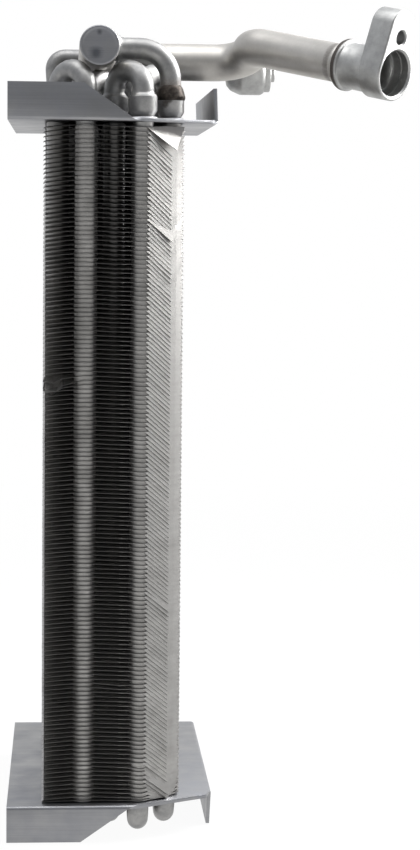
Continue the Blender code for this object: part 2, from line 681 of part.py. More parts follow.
def make_liquid_header(parent):
    """A small closed pipe along the left side, behind the front flange."""
    axis = Vector((0, 1, 0))
    z = PLATE_TOP + HEADER_HEIGHT
    edge = TUBE_RADIUS / 3
    start, end = Vector((HEADER_X, HEADER_FRONT, z)), Vector((HEADER_X, HEADER_REAR, z))
    profile = [(start, TUBE_RADIUS - edge), (start + axis * edge, TUBE_RADIUS), (end - axis * edge, TUBE_RADIUS),
               (end, TUBE_RADIUS - edge)]
    bm = bmesh.new()
    loft(bm, [circle(p, axis, r, TUBE_SIDES, Vector((0, 0, 1))) for p, r in profile])
    shade_round(add_object("liquid_header", bm, "tube", parent))


def make_liquid_tube(parent):
    """From the fitting, a step up, left across the core, down beside the header and into it."""
    radius = LIQUID_DIAMETER / 2
    fitting_z = PLATE_TOP + FITTING_HEIGHT
    run_z = PLATE_TOP + LIQUID_HEIGHT
    header_z = PLATE_TOP + HEADER_HEIGHT
    leg_x = HEADER_X + TUBE_RADIUS + COPE_GAP + LIQUID_BEND + radius / 2
    corners = [
        Vector((FITTING_X - CLEARANCE, LIQUID_Y, fitting_z)),
        Vector((FITTING_X - LIQUID_STEP_END, LIQUID_Y, fitting_z)),
        Vector((FITTING_X - LIQUID_STEP_END - LIQUID_STEP, LIQUID_Y, run_z)),
        Vector((leg_x, LIQUID_Y, run_z)),
        Vector((leg_x, LIQUID_Y, header_z)),
        Vector((HEADER_X + TUBE_RADIUS + COPE_GAP, LIQUID_Y, header_z)),
    ]
    line = route(corners, LIQUID_BEND, BEND_STEPS)
    rings = tube_rings(line, radius, TUBE_SIDES, Vector((0, 0, 1)))
    bm = bmesh.new()
    loft(bm, rings)
    shade_round(add_object("liquid_tube", bm, "tube", parent))


def make_liquid_fitting(parent):
    """A turned connector: rounded shoulder, body, collar and a short spigot with its port."""
    z = PLATE_TOP + FITTING_HEIGHT
    ring_end = FITTING_BODY + FITTING_RING
    tip = ring_end + SPIGOT_LENGTH
    shoulder = [(0.0, 0.63), (0.26, 0.80), (0.65, 0.91), (1.0, 1.0)]
    profile = [(x * FITTING_SHOULDER, r * FITTING_RADIUS) for x, r in shoulder]
    profile += [(FITTING_BODY - FITTING_EDGE, FITTING_RADIUS), (FITTING_BODY, FITTING_RING_RADIUS + FITTING_EDGE / 5),
                (FITTING_BODY, FITTING_RING_RADIUS), (ring_end, FITTING_RING_RADIUS), (ring_end, SPIGOT_RADIUS),
                (tip, SPIGOT_RADIUS), (tip, SPIGOT_BORE), (tip - SPIGOT_DEPTH, SPIGOT_BORE)]
    axis = Vector((1, 0, 0))
    bm = bmesh.new()
    rings = [circle(Vector((FITTING_X + x, LIQUID_Y, z)), axis, r, FITTING_SIDES, Vector((0, 0, 1)))
             for x, r in profile]
    loft(bm, rings)
    shade_round(add_object("liquid_fitting", bm, "block", parent))


def settle(parent):
    """Put the middle of the whole object's base at the origin."""
    bpy.context.view_layer.update()
    graph = bpy.context.evaluated_depsgraph_get()
    low = Vector((math.inf,) * 3)
    high = Vector((-math.inf,) * 3)
    for obj in bpy.context.scene.objects:
        if obj.type != "MESH" or obj.hide_render:
            continue
        shape = obj.evaluated_get(graph)
        for vertex in shape.data.vertices:
            point = obj.matrix_world @ vertex.co
            low = Vector(map(min, low, point))
            high = Vector(map(max, high, point))
    parent.location = Vector((-(low.x + high.x) / 2, -(low.y + high.y) / 2, -low.z))
    bpy.context.view_layer.update()


def main():
    clear_scene()
    core = bpy.data.objects.new("evaporator_core", None)
    bpy.context.scene.collection.objects.link(core)
    make_fin_pack(core)
    make_end_plate("bottom_end_plate", 0.0, -1.0, core)
    make_end_plate("top_end_plate", CORE_LENGTH, 1.0, core)
    pairs = TUBES_PER_ROW // 2
    for row in range(ROWS):
        for pair in range(pairs):
            make_hairpin("hairpin_row%d_%d" % (row + 1, pair + 1), row, pair, core)
    for pair in range(pairs):
        front, rear = 2 * pair, 2 * pair + 1
        make_return_bend("return_bend_1_2_%d" % (pair + 1), (1, front), (0, front), core)
        make_return_bend("return_bend_2_3_%d" % (pair + 1), (1, rear), (2, rear), core)
        make_return_bend("return_bend_3_4_%d" % (pair + 1), (3, front), (2, front), core)
        make_return_bend("return_bend_4_5_%d" % (pair + 1), (3, rear), (4, rear), core)
        make_branch(pair + 1, tube_place(4, front), core)
    make_manifold(core)
    make_suction_tube(core)
    make_suction_block(core)
    make_liquid_header(core)
    make_liquid_tube(core)
    make_liquid_fitting(core)
    settle(core)


main()
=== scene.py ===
import math
import bmesh
import bpy
import numpy as np
from mathutils import Matrix, Vector, noise


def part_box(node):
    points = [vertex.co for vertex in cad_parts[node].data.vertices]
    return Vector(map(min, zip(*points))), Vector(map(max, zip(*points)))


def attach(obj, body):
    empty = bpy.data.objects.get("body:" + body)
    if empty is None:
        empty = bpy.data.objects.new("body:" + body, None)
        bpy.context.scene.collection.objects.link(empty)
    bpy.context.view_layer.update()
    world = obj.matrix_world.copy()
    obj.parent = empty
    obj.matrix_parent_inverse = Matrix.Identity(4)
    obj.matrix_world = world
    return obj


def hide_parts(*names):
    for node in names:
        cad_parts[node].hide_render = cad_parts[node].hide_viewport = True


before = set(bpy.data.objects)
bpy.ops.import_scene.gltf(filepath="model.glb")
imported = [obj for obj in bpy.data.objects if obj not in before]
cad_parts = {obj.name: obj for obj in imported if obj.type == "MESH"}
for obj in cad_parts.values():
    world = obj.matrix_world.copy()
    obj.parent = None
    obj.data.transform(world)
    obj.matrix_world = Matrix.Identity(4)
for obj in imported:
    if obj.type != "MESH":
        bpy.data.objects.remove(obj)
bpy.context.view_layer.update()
mm = 0.001

# Lengths are in millimetres from one corner of the core: x to the right, y to the rear, z up.
# The corner is where the fins' side of the lower plate meets the front of its flange.
topPlateLow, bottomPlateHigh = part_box("top_end_plate")[0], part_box("bottom_end_plate")[1]
cornerPoint = Vector((topPlateLow.x, topPlateLow.y, bottomPlateHigh.z))

core = {
    "length": 309.5,            # between the two end plates
    "left": 15.8,
    "front": 5.1,
    "width": 63.5,
    "depth": 152.4,
    "rows": 5,
    "tubesInRow": 6,
    "rowPitch": 12.7,
    "tubePitch": 25.4,
    "stagger": (0.75, 0.25),    # setback of a row's first tube, in tube pitches, in turn from the left row
    "tubeRadius": 4.76,
    "sheet": 1.6,
}
plateTop = core["length"] + core["sheet"]
lastRow = core["rows"] - 1
pairsInRow = core["tubesInRow"] // 2
finLeft, finRight = core["left"], core["left"] + core["width"]
finFront, finRear = core["front"], core["front"] + core["depth"]
finMiddle = (finFront + finRear) / 2
rightward, rearward, upward = Vector((1, 0, 0)), Vector((0, 1, 0)), Vector((0, 0, 1))


def at(point):
    return cornerPoint + Vector(point) * mm


def placeOf(co):
    return (co - cornerPoint) / mm


def tubeAt(row, index, z=0.0):
    x = core["left"] + (row + 0.5) * core["rowPitch"]
    return Vector((x, core["front"] + (index + core["stagger"][row % 2]) * core["tubePitch"], z))


def colour(hexCode):
    # an sRGB hex value as linear light
    channels = [int(hexCode[i:i + 2], 16) / 255 for i in (1, 3, 5)]
    linear = [c / 12.92 if c <= 0.04045 else ((c + 0.055) / 1.055) ** 2.4 for c in channels]
    return (*linear, 1.0)


def addNode(tree, kind, settings=None, links=None):
    # Sockets that share a name go by number: a Mix has its values at 2 and 3 and its colours at 6 and 7.
    node = tree.nodes.new("ShaderNode" + kind)
    for key, value in (settings or {}).items():
        if isinstance(key, str) and hasattr(node, key):
            setattr(node, key, value)
        else:
            node.inputs[key].default_value = value
    for key, source in (links or {}).items():
        tree.links.new(source, node.inputs[key])
    return node


stainedSurface = {"gloss": 0.62, "metallic": 0.45}      # what flux and heat leave of the bare metal's shine


def bareMetal(name, look, stains=()):
    # Bare aluminium. Clouds of oxide and handling change its grey and its gloss, and the rolling or
    # drawing leaves fine lines along one way. Lengths in the look are in millimetres.
    material = bpy.data.materials.new(name)
    material.use_nodes = True
    tree = material.node_tree
    shader = tree.nodes["Principled BSDF"]
    place = addNode(tree, "TexCoord").outputs["Object"]
    clouds = addNode(tree, "TexNoise", {"Scale": 1 / (look["cloud"] * mm), "Detail": 4.0, "Roughness": 0.55},
                     {"Vector": place}).outputs[0]
    cloudy = addNode(tree, "MapRange", {"From Min": 0.32, "From Max": 0.68}, {"Value": clouds}).outputs[0]
    stretch = [1 / (length * mm) for length in look["grain"]]
    stretched = addNode(tree, "Mapping", {"Scale": stretch}, {"Vector": place})
    grain = addNode(tree, "TexNoise", {"Scale": 1.0, "Detail": 3.0, "Roughness": 0.6},
                    {"Vector": stretched.outputs[0]}).outputs[0]
    grainy = addNode(tree, "MapRange", {"From Min": 0.3, "From Max": 0.7}, {"Value": grain}).outputs[0]
    base = addNode(tree, "Mix", {"data_type": "RGBA", 6: colour(look["dull"]), 7: colour(look["bright"])},
                   {0: cloudy})
    tint = addNode(tree, "Mix", {"data_type": "RGBA", "blend_type": "MULTIPLY", 0: look["lineDepth"]},
                   {6: base.outputs[2], 7: grainy}).outputs[2]
    glossiest, dullest = look["gloss"]
    gloss = addNode(tree, "MapRange", {"To Min": dullest, "To Max": glossiest}, {"Value": cloudy}).outputs[0]
    metal = None
    for stain in stains:
        # dark marks, such as flux and heat round a brazed joint: brown, dull and only half metallic
        away = addNode(tree, "VectorMath", {"operation": "DISTANCE", 1: at(stain["at"])}, {0: place})
        ragged = addNode(tree, "Math", {"operation": "MULTIPLY_ADD", 1: stain["ragged"] * mm},
                         {0: grain, 2: away.outputs["Value"]})
        mask = addNode(tree, "MapRange", {"From Min": stain["full"] * mm, "From Max": stain["gone"] * mm,
                                          "To Min": stain["depth"], "To Max": 0.0},
                       {"Value": ragged.outputs[0]}).outputs[0]
        tint = addNode(tree, "Mix", {"data_type": "RGBA", 7: colour(stain["tint"])},
                       {0: mask, 6: tint}).outputs[2]
        gloss = addNode(tree, "Mix", {3: stainedSurface["gloss"]}, {0: mask, 2: gloss}).outputs[0]
        partly = addNode(tree, "Mix", {2: 1.0, 3: stainedSurface["metallic"]}, {0: mask}).outputs[0]
        if metal is None:
            metal = partly
        else:
            metal = addNode(tree, "Math", {"operation": "MINIMUM"}, {0: metal, 1: partly}).outputs[0]
    bumps = addNode(tree, "Bump", {"Strength": 1.0, "Distance": look["bump"] * mm}, {"Height": grain})
    waves = addNode(tree, "Bump", {"Strength": 1.0, "Distance": look["wave"] * mm},
                    {"Height": clouds, "Normal": bumps.outputs[0]})
    shader.inputs["Metallic"].default_value = look.get("metallic", 1.0)
    tree.links.new(tint, shader.inputs["Base Color"])
    tree.links.new(gloss, shader.inputs["Roughness"])
    tree.links.new(waves.outputs[0], shader.inputs["Normal"])
    if metal is not None:
        tree.links.new(metal, shader.inputs["Metallic"])
    return material


# Aluminium 3003 sheet, cold rolled: satin, with long fine lines across the core and cloudy patches
rolledSheet = {"dull": "#939498", "bright": "#9E9E9F", "cloud": 15.0, "grain": (45.0, 4.0, 0.45),
               "lineDepth": 0.12, "gloss": (0.38, 0.48), "bump": 0.008, "wave": 0.012}
# Aluminium fin foil, tempered: smoother than the plates, each fin a little different. Its oxide film
# scatters light between the close fins, which a metallic of 0.7 stands in for.
finFoil = {"dull": "#959390", "bright": "#A6A4A1", "cloud": 9.0, "grain": (60.0, 60.0, 1.9),
           "lineDepth": 0.12, "gloss": (0.30, 0.40), "bump": 0.0, "wave": 0.01, "metallic": 0.7}
# The foil's sheared edges: dull and rough
shearedEdge = {"dull": "#5A5957", "bright": "#6B6A68", "cloud": 9.0, "grain": (5.0, 5.0, 1.9),
               "lineDepth": 0.1, "gloss": (0.5, 0.6), "bump": 0.0, "wave": 0.0}
# Aluminium 3103 tube, cold drawn and furnace heated: soft sheen with a slightly frosted surface
drawnTube = {"dull": "#8D8D8D", "bright": "#A6A5A3", "cloud": 6.0, "grain": (0.9, 0.9, 0.9),
             "lineDepth": 0.10, "gloss": (0.44, 0.56), "bump": 0.006, "wave": 0.02}
# Aluminium pipe of the suction line, bent after drawing: paler than the thin tubes, with handling marks
bentPipe = {"dull": "#B4B1AC", "bright": "#C1BEB9", "cloud": 14.0, "grain": (1.2, 1.2, 1.2),
            "lineDepth": 0.06, "gloss": (0.46, 0.54), "bump": 0.004, "wave": 0.006}
# Aluminium 6061, machined and tumbled: pale, even and finely matt
machinedBlock = {"dull": "#A0A09F", "bright": "#B6B6B4", "cloud": 5.0, "grain": (0.5, 0.5, 0.5),
                 "lineDepth": 0.10, "gloss": (0.40, 0.52), "bump": 0.006, "wave": 0.01}
# Aluminium-silicon braze with flux residue: brown-grey and rough
brazeMetal = {"dull": "#322E2B", "bright": "#524C47", "cloud": 2.2, "grain": (0.7, 0.7, 0.7),
              "lineDepth": 0.25, "gloss": (0.48, 0.64), "bump": 0.03, "wave": 0.03}

# points closer than mergeWithin become one; a point within near of a plane counts as on it; angles in degrees
modelling = {"mergeWithin": 0.002, "near": 0.05, "smoothAngle": 40.0, "softenAngle": 50.0}
pen = {"place": Vector(), "radius": 1.0}        # middle and radius of the ring being drawn out


def deselectAll():
    if bpy.context.object and bpy.context.object.mode != "OBJECT":
        bpy.ops.object.mode_set(mode="OBJECT")
    bpy.ops.object.select_all(action="DESELECT")


def makeActive(part):
    deselectAll()
    part.select_set(True)
    bpy.context.view_layer.objects.active = part


def settlePlace():
    # leaves the selected object at the origin, unturned and unscaled
    bpy.ops.object.transform_apply(location=True, rotation=True, scale=True)


def selectPoints(part, test):
    mesh = bmesh.from_edit_mesh(part.data)
    bpy.ops.mesh.select_all(action="DESELECT")
    for vertex in mesh.verts:
        vertex.select = bool(test(placeOf(vertex.co)))
    mesh.select_flush(True)
    bmesh.update_edit_mesh(part.data)


def startSheet(middle, width, depth):
    # a flat rectangle, left open in edit mode
    deselectAll()
    bpy.ops.mesh.primitive_plane_add(size=1.0, location=at(middle))
    settlePlace()
    bpy.ops.object.mode_set(mode="EDIT")
    bpy.ops.mesh.select_all(action="SELECT")
    bpy.ops.transform.resize(value=(width * mm, depth * mm, 1.0), center_override=at(middle))
    return bpy.context.object


def cutSheet(point, normal, clearOuter=False):
    bpy.ops.mesh.select_all(action="SELECT")
    bpy.ops.mesh.bisect(plane_co=at(point), plane_no=normal, clear_outer=clearOuter)


def startRing(centre, along, radius, sides):
    deselectAll()
    turn = Vector(along).to_track_quat("Z", "Y").to_euler()
    bpy.ops.mesh.primitive_circle_add(vertices=sides, radius=radius * mm, location=at(centre), rotation=turn)
    settlePlace()
    bpy.ops.object.mode_set(mode="EDIT")
    bpy.ops.mesh.select_all(action="SELECT")
    pen["place"], pen["radius"] = Vector(centre), radius
    return bpy.context.object


def pushRing(step, radius=None):
    step = Vector(step)
    bpy.ops.mesh.extrude_region_move(TRANSFORM_OT_translate={"value": step * mm})
    pen["place"] = pen["place"] + step
    if radius:
        factor = radius / pen["radius"]
        bpy.ops.transform.resize(value=(factor, factor, factor), center_override=at(pen["place"]))
        pen["radius"] = radius


def pushProfile(profile, along):
    # takes the ring on from the first (distance, radius) of a profile to its last
    for before, after in zip(profile, profile[1:]):
        pushRing(along * (after[0] - before[0]), after[1])


def turnRing(angle, into, side, bendRadius, steps):
    # swings the ring from its own direction towards the side
    centre = pen["place"] + side * bendRadius
    bpy.ops.mesh.spin(steps=steps, angle=angle, center=at(centre), axis=side.cross(into))
    pen["place"] = centre + Matrix.Rotation(angle, 3, into.cross(side)) @ (pen["place"] - centre)


def followRoute(corners, bendRadius, steps):
    # takes the ring along straight runs with bends of so many steps to a quarter turn
    corners = [Vector(corner) for corner in corners]
    for before, corner, after in zip(corners, corners[1:], corners[2:]):
        into, onward = (corner - before).normalized(), (after - corner).normalized()
        angle = into.angle(onward)
        pushRing(corner - into * (bendRadius * math.tan(angle / 2)) - pen["place"])
        side = (onward - into * into.dot(onward)).normalized()
        turnRing(angle, into, side, bendRadius, max(3, round(steps * angle / math.pi * 2)))
    pushRing(corners[-1] - pen["place"])


def faceOutward():
    bpy.ops.mesh.select_all(action="SELECT")
    bpy.ops.mesh.normals_make_consistent(inside=False)
    bpy.ops.object.mode_set(mode="OBJECT")


def closeMesh(fill=True):
    bpy.ops.mesh.select_all(action="SELECT")
    bpy.ops.mesh.remove_doubles(threshold=modelling["mergeWithin"] * mm)
    if fill:
        bpy.ops.mesh.select_all(action="SELECT")
        bpy.ops.mesh.fill_holes(sides=0)
    faceOutward()


def startProfile(base, along, profile, sides):
    # a profile of (distance, radius) turned about a line from the base, left open in edit mode
    along = Vector(along).normalized()
    part = startRing(Vector(base) + along * profile[0][0], along, profile[0][1], sides)
    pushProfile(profile, along)
    return part


def turnedPart(base, along, profile, sides, fill=True):
    part = startProfile(base, along, profile, sides)
    closeMesh(fill)
    return part


def shifted(profile, distance=0.0, radius=0.0):
    # the same profile farther along its line, or with its radii counted from a pipe's own radius
    return [(distance + along, radius + more) for along, more in profile]


def atBothEnds(profile, length):
    return profile + [(length - distance, radius) for distance, radius in reversed(profile)]


def joinInto(part, others):
    deselectAll()
    for other in others:
        other.select_set(True)
    part.select_set(True)
    bpy.context.view_layer.objects.active = part
    bpy.ops.object.join()
    return part


def reshape(part, kind, settings):
    # a modifier with its settings, applied at once
    change = part.modifiers.new(kind.title(), kind)
    for key, value in settings.items():
        setattr(change, key, value)
    makeActive(part)
    bpy.ops.object.modifier_apply(modifier=change.name)


def stackUp(part, count, pitch):
    reshape(part, "ARRAY", {"count": count, "use_relative_offset": False, "use_constant_offset": True,
                            "constant_offset_displace": (0, 0, pitch * mm)})


def softenEdges(part, width, segments):
    reshape(part, "BEVEL", {"width": width * mm, "segments": segments, "limit_method": "ANGLE",
                            "angle_limit": math.radians(modelling["softenAngle"]), "use_clamp_overlap": True})


def combine(part, other, operation):
    reshape(part, "BOOLEAN", {"operation": operation, "solver": "EXACT", "object": other})
    bpy.data.objects.remove(other, do_unlink=True)


def finishPiece(part, name, node, material, smooth=modelling["smoothAngle"]):
    makeActive(part)
    settlePlace()
    if smooth:
        bpy.ops.object.shade_smooth_by_angle(angle=math.radians(smooth))
    part.name = part.data.name = name
    part.data.materials.clear()
    part.data.materials.append(material)
    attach(part, "root")
    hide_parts(node)


# The photo's camera, as fitted to the corners of both end plates. Its angles are in radians, its
# lens and sensor in millimetres, and its farthest view in metres.
cameraView = {
    "eye": (26.08, -949.02, 267.75),
    "down": 0.0975, "right": 0.0681, "roll": -0.0108,
    "lens": 90.15, "sensor": 36.0,
    "farthest": 20.0,
}
camera = bpy.data.objects.new("photoCamera", bpy.data.cameras.new("photoCamera"))
bpy.context.scene.collection.objects.link(camera)
bpy.context.scene.camera = camera
swing, tilt, roll = cameraView["right"], cameraView["down"], cameraView["roll"]
forward = Vector((math.sin(swing) * math.cos(tilt), math.cos(swing) * math.cos(tilt), -math.sin(tilt)))
level = Vector((math.cos(swing), -math.sin(swing), 0))
above = level.cross(forward)
across = level * math.cos(roll) - above * math.sin(roll)
over = level * math.sin(roll) + above * math.cos(roll)
camera.matrix_world = Matrix((across, over, -forward)).transposed().to_4x4()
camera.location = at(cameraView["eye"])
camera.data.lens = cameraView["lens"]
camera.data.sensor_width = cameraView["sensor"]
camera.data.clip_end = cameraView["farthest"]
print("camera set")

fins = {
    "count": 152,
    "pitch": 2.032,
    "thickness": 0.12,
    # height of a fin across its width, as stamped: turned down at its left end, waved across the rows
    "wave": [(15.8, -2.05), (16.7, -1.6), (20.5, -1.1), (24.6, -0.8), (34.4, 0.0), (41.0, -0.32),
             (50.6, -0.66), (61.8, -0.9), (79.3, -0.6)],
    "waveRaised": 0.45,         # the whole wave is lifted by this much
    "waveFrom": 0.6, "waveFull": 3.2,       # heights over which the wave grows, to clear the lower plate
    "ridge": 2.4,               # they rise to a ridge half way back, which closes the view through the pack
    "lipDepth": 6.5,            # the strip along the front that hangs and that a knock bends
    "lipDrop": 0.7,
    # the corner bent down on each fin
    "foldFront": 17.6, "foldSide": 14.2,    # along the front and along the right side
    "foldAngle": math.radians(82),
    "foldUneven": 0.04,
    "foldCurl": 1.9,            # how far the crease bulges, to wrap each bent corner round the core's edge
    "cornerThickness": 2.2,     # the bent corners lie on each other, so they are drawn thicker
    "thickBeyond": 3.0,         # how far past the crease that thickness is reached
    "clearance": 0.5,           # the lowest corners are crushed short, this far above the plate,
    "leastCorner": 0.02,        # but to no less than this share of their length
    # the collars drawn from the fins, nested into one sleeve on each tube
    "sleeveRadius": 5.15, "sleeveGap": 0.4, "sleeveSides": 20,
    "collar": [(0.0, 5.25), (0.55, 5.25), (0.8, 5.31), (1.0, 5.35)],    # share of the pitch, and radius
    # how uneven the fins are: in their spacing, across their width and along their sheared edges
    "unevenPitch": 0.12, "ripple": 0.10, "roughEdge": 0.12,
    # a few fins bent out near the right edge, a third of the way up
    "bentBand": {"low": 80.0, "high": 90.0, "width": 5.0, "outward": 0.5, "upward": 1.0},
    # how far they may pass the left and right of the core, and how close they come to the plates
    "overhang": (0.5, 0.6), "plateGap": 0.05,
    # dents in the front edges: middle (x, z), reach, and how far the edge is pushed back and down
    "dents": [
        {"x": 20.2, "z": 194.3, "reach": (6.4, 3.8), "back": 3.2, "down": 6.0},
        {"x": 21.0, "z": 279.0, "reach": (5.5, 1.6), "back": 0.3, "down": 0.9},
        {"x": 45.0, "z": 246.0, "reach": (8.0, 3.0), "back": 0.3, "down": 0.8},
        {"x": 50.6, "z": 55.4, "reach": (5.0, 2.2), "back": 0.6, "down": 1.1},
        {"x": 59.5, "z": 17.5, "reach": (4.6, 2.4), "back": 1.0, "down": 1.4},
    ],
    # bent corners that a knock has opened again: height, reach up and down, and by what angle
    "openCorners": [
        {"z": 308.2, "reach": 1.2, "angle": 0.30},
        {"z": 268.0, "reach": 1.4, "angle": 0.11},
        {"z": 98.0, "reach": 2.5, "angle": 0.07},
        {"z": 13.0, "reach": 2.5, "angle": 0.12},
    ],
}
creaseStart = Vector((finRight - fins["foldFront"], finFront, 0))
creaseLength = math.hypot(fins["foldFront"], fins["foldSide"])
crease = Vector((fins["foldFront"], fins["foldSide"], 0)) / creaseLength
outward = Vector((crease.y, -crease.x, 0))
onCrease = 0.01                 # within this distance a point is on the crease
nearEdge = 1.0                  # within this distance it is on an edge of the fin


def beyondCrease(x, y):
    return outward.dot(Vector((x, y, 0)) - creaseStart)


def foldCorner(points, height, index):
    # turns what lies beyond the crease down about it
    reach = beyondCrease(finRight, finFront)
    angle = fins["foldAngle"]
    crushed = min(1.0, max(fins["leastCorner"], (height - fins["clearance"]) / (reach * math.sin(angle))))
    angle += fins["foldUneven"] * noise.noise(Vector((index * 0.31, 3.0, 0.0)))
    for knock in fins["openCorners"]:
        angle -= knock["angle"] * max(0.0, 1 - abs(height - knock["z"]) / knock["reach"])
    for point in points:
        beyond = beyondCrease(point[0], point[1])
        along = crease.dot(Vector((point[0], point[1], 0)) - creaseStart) / creaseLength
        if abs(beyond) < onCrease and 0.05 < along < 0.95:
            bulge = fins["foldCurl"] * math.sin(angle)
            point[0] += outward.x * bulge
            point[1] += outward.y * bulge
        if beyond > onCrease:
            foot = Vector((point[0], point[1], 0)) - outward * beyond
            thicker = (fins["cornerThickness"] - 1) * min(1.0, beyond / fins["thickBeyond"])
            lift = point[2] * (1 + thicker)
            beyond *= crushed
            point[0] = foot.x + outward.x * (beyond * math.cos(angle) + lift * math.sin(angle))
            point[1] = foot.y + outward.y * (beyond * math.cos(angle) + lift * math.sin(angle))
            point[2] = lift * math.cos(angle) - beyond * math.sin(angle)


def shapeFin(fin, height, index):
    # Shapes the points of one flat fin. The noise is read at places that follow from the fin's index
    # and the point's own place, so each fin differs and each run gives the same.
    flat = fin.copy()
    foldCorner(fin, height, index)
    frontEdge = flat[:, 1] < finFront + nearEdge
    room = min(1.0, max(0.0, (height - fins["waveFrom"]) / (fins["waveFull"] - fins["waveFrom"])))
    fin[:, 2] += (np.interp(flat[:, 0], *zip(*fins["wave"])) + fins["waveRaised"]) * room
    fin[np.abs(flat[:, 1] - finMiddle) < nearEdge, 2] += fins["ridge"]
    fin[frontEdge, 2] -= fins["lipDrop"] * room
    seed = index * 0.37
    fin[:, 2] += fins["unevenPitch"] * noise.noise(Vector((seed, 0.0, 5.0)))
    for point, start, inFront in zip(fin, flat, frontEdge):
        point[2] += fins["ripple"] * noise.noise(Vector((start[0] * 0.12, seed * 4, 1.0)))
        if start[0] < finLeft + nearEdge:
            point[0] += fins["roughEdge"] * noise.noise(Vector((seed * 5, start[1] * 0.01, 3.0)))
        if inFront:
            point[1] += fins["roughEdge"] * noise.noise(Vector((start[0] * 0.2, seed * 7, 2.0)))
            for dent in fins["dents"]:
                u = (start[0] - dent["x"]) / dent["reach"][0]
                v = (height - dent["z"]) / dent["reach"][1]
                push = max(0.0, 1 - math.hypot(u, v))
                point[1] += dent["back"] * push
                point[2] -= dent["down"] * push
    band = fins["bentBand"]
    if band["low"] < height < band["high"]:
        side = flat[:, 0] > finRight - band["width"]
        swell = math.sin((height - band["low"]) / (band["high"] - band["low"]) * math.pi)
        fin[side, 0] += band["outward"] * swell * noise.noise(Vector((index * 2.3, 0, 0)))
        fin[side, 2] += band["upward"] * noise.noise(Vector((index * 3.1, 4, 0)))
    fin[:, 2] += height


def makeSleeve(row, index):
    # the collars on one tube; only those of the two tubes nearest the front show one by one
    pitch, tall = fins["pitch"], core["length"] - 2 * fins["sleeveGap"]
    showsCollars = row % 2 == 1 and index == 0
    profile = [(0, fins["sleeveRadius"]), (tall, fins["sleeveRadius"])]
    if showsCollars:
        profile = [(share * pitch, radius) for share, radius in fins["collar"]]
    base = tubeAt(row, index, fins["sleeveGap"])
    sleeve = turnedPart(base, upward, profile, fins["sleeveSides"], fill=False)
    if showsCollars:
        stackUp(sleeve, int(tall / pitch), pitch)
    for face in sleeve.data.polygons:
        face.use_smooth = True
    return sleeve


def makeFins():
    # one sheet of foil, cut along the lines where it will bend, then stacked and shaped fin by fin
    pack = startSheet(((finLeft + finRight) / 2, finMiddle, 0), core["width"], core["depth"])
    for x, _ in fins["wave"][1:-1]:
        cutSheet((x, 0, 0), (1, 0, 0))
    cutSheet((finRight, finFront + fins["foldSide"], 0), outward)
    for y in (finFront + fins["lipDepth"], finMiddle):
        cutSheet((0, y, 0), (0, 1, 0))
    # a line from the middle of the crease to the corner, along which the bent corner curls
    selectPoints(pack, lambda p: beyondCrease(p.x, p.y) > -onCrease)
    bpy.ops.mesh.bisect(plane_co=at((finRight, finFront, 0)), plane_no=crease)
    bpy.ops.object.mode_set(mode="OBJECT")
    reshape(pack, "SOLIDIFY", {"thickness": fins["thickness"] * mm, "offset": 0.0})
    perFin = len(pack.data.vertices)
    stackUp(pack, fins["count"], fins["pitch"])
    flat = np.empty(len(pack.data.vertices) * 3)
    pack.data.vertices.foreach_get("co", flat)
    points = (flat.reshape(-1, 3) - np.array(cornerPoint)) / mm
    lowest = (core["length"] - (fins["count"] - 1) * fins["pitch"]) / 2
    for index in range(fins["count"]):
        fin = points[index * perFin:(index + 1) * perFin]
        fin[:, 2] -= index * fins["pitch"]
        shapeFin(fin, lowest + index * fins["pitch"], index)
    points[:, 0] = np.clip(points[:, 0], finLeft - fins["overhang"][0], finRight + fins["overhang"][1])
    points[:, 2] = np.clip(points[:, 2], fins["plateGap"], core["length"] - fins["plateGap"])
    pack.data.vertices.foreach_set("co", (points * mm + np.array(cornerPoint)).ravel())
    pack.data.update()
    sleeves = [makeSleeve(row, index) for row in range(core["rows"]) for index in range(core["tubesInRow"])]
    return joinInto(pack, sleeves)


finPack = makeFins()
finishPiece(finPack, "finPack", "fin_pack", bareMetal("temperedFinFoil", finFoil), smooth=None)
finPack.data.materials.append(bareMetal("shearedFinEdge", shearedEdge))
for face in finPack.data.polygons:
    # the sheared edges are the flat upright faces that don't belong to a bent corner
    spot = placeOf(face.center)
    if not face.use_smooth and abs(face.normal.z) < 0.3 and beyondCrease(spot.x, spot.y) < onCrease:
        face.material_index = 1
print("fins made:", len(finPack.data.polygons), "faces")

plate = {
    "width": 95.0, "depth": 162.6,
    "flangeHeight": 16.7, "flangeTop": 33.6, "flangeFoot": 57.3,
    "tabHeight": 16.4, "tabStart": 27.9, "tabLean": math.radians(2.5),
    "corner": (92.0, 18.5),
    "foldRadius": 1.7, "foldSteps": 4,
    "edge": 0.3, "edgeSteps": 2,
    # the sheet drawn up round each tube, by height over the plate and radius
    "lip": [(0.0, 6.6), (0.5, 6.4), (0.9, 5.9), (1.0, 5.3), (0.6, 4.9), (-0.4, 4.9)],
    "lipSides": 24,
}


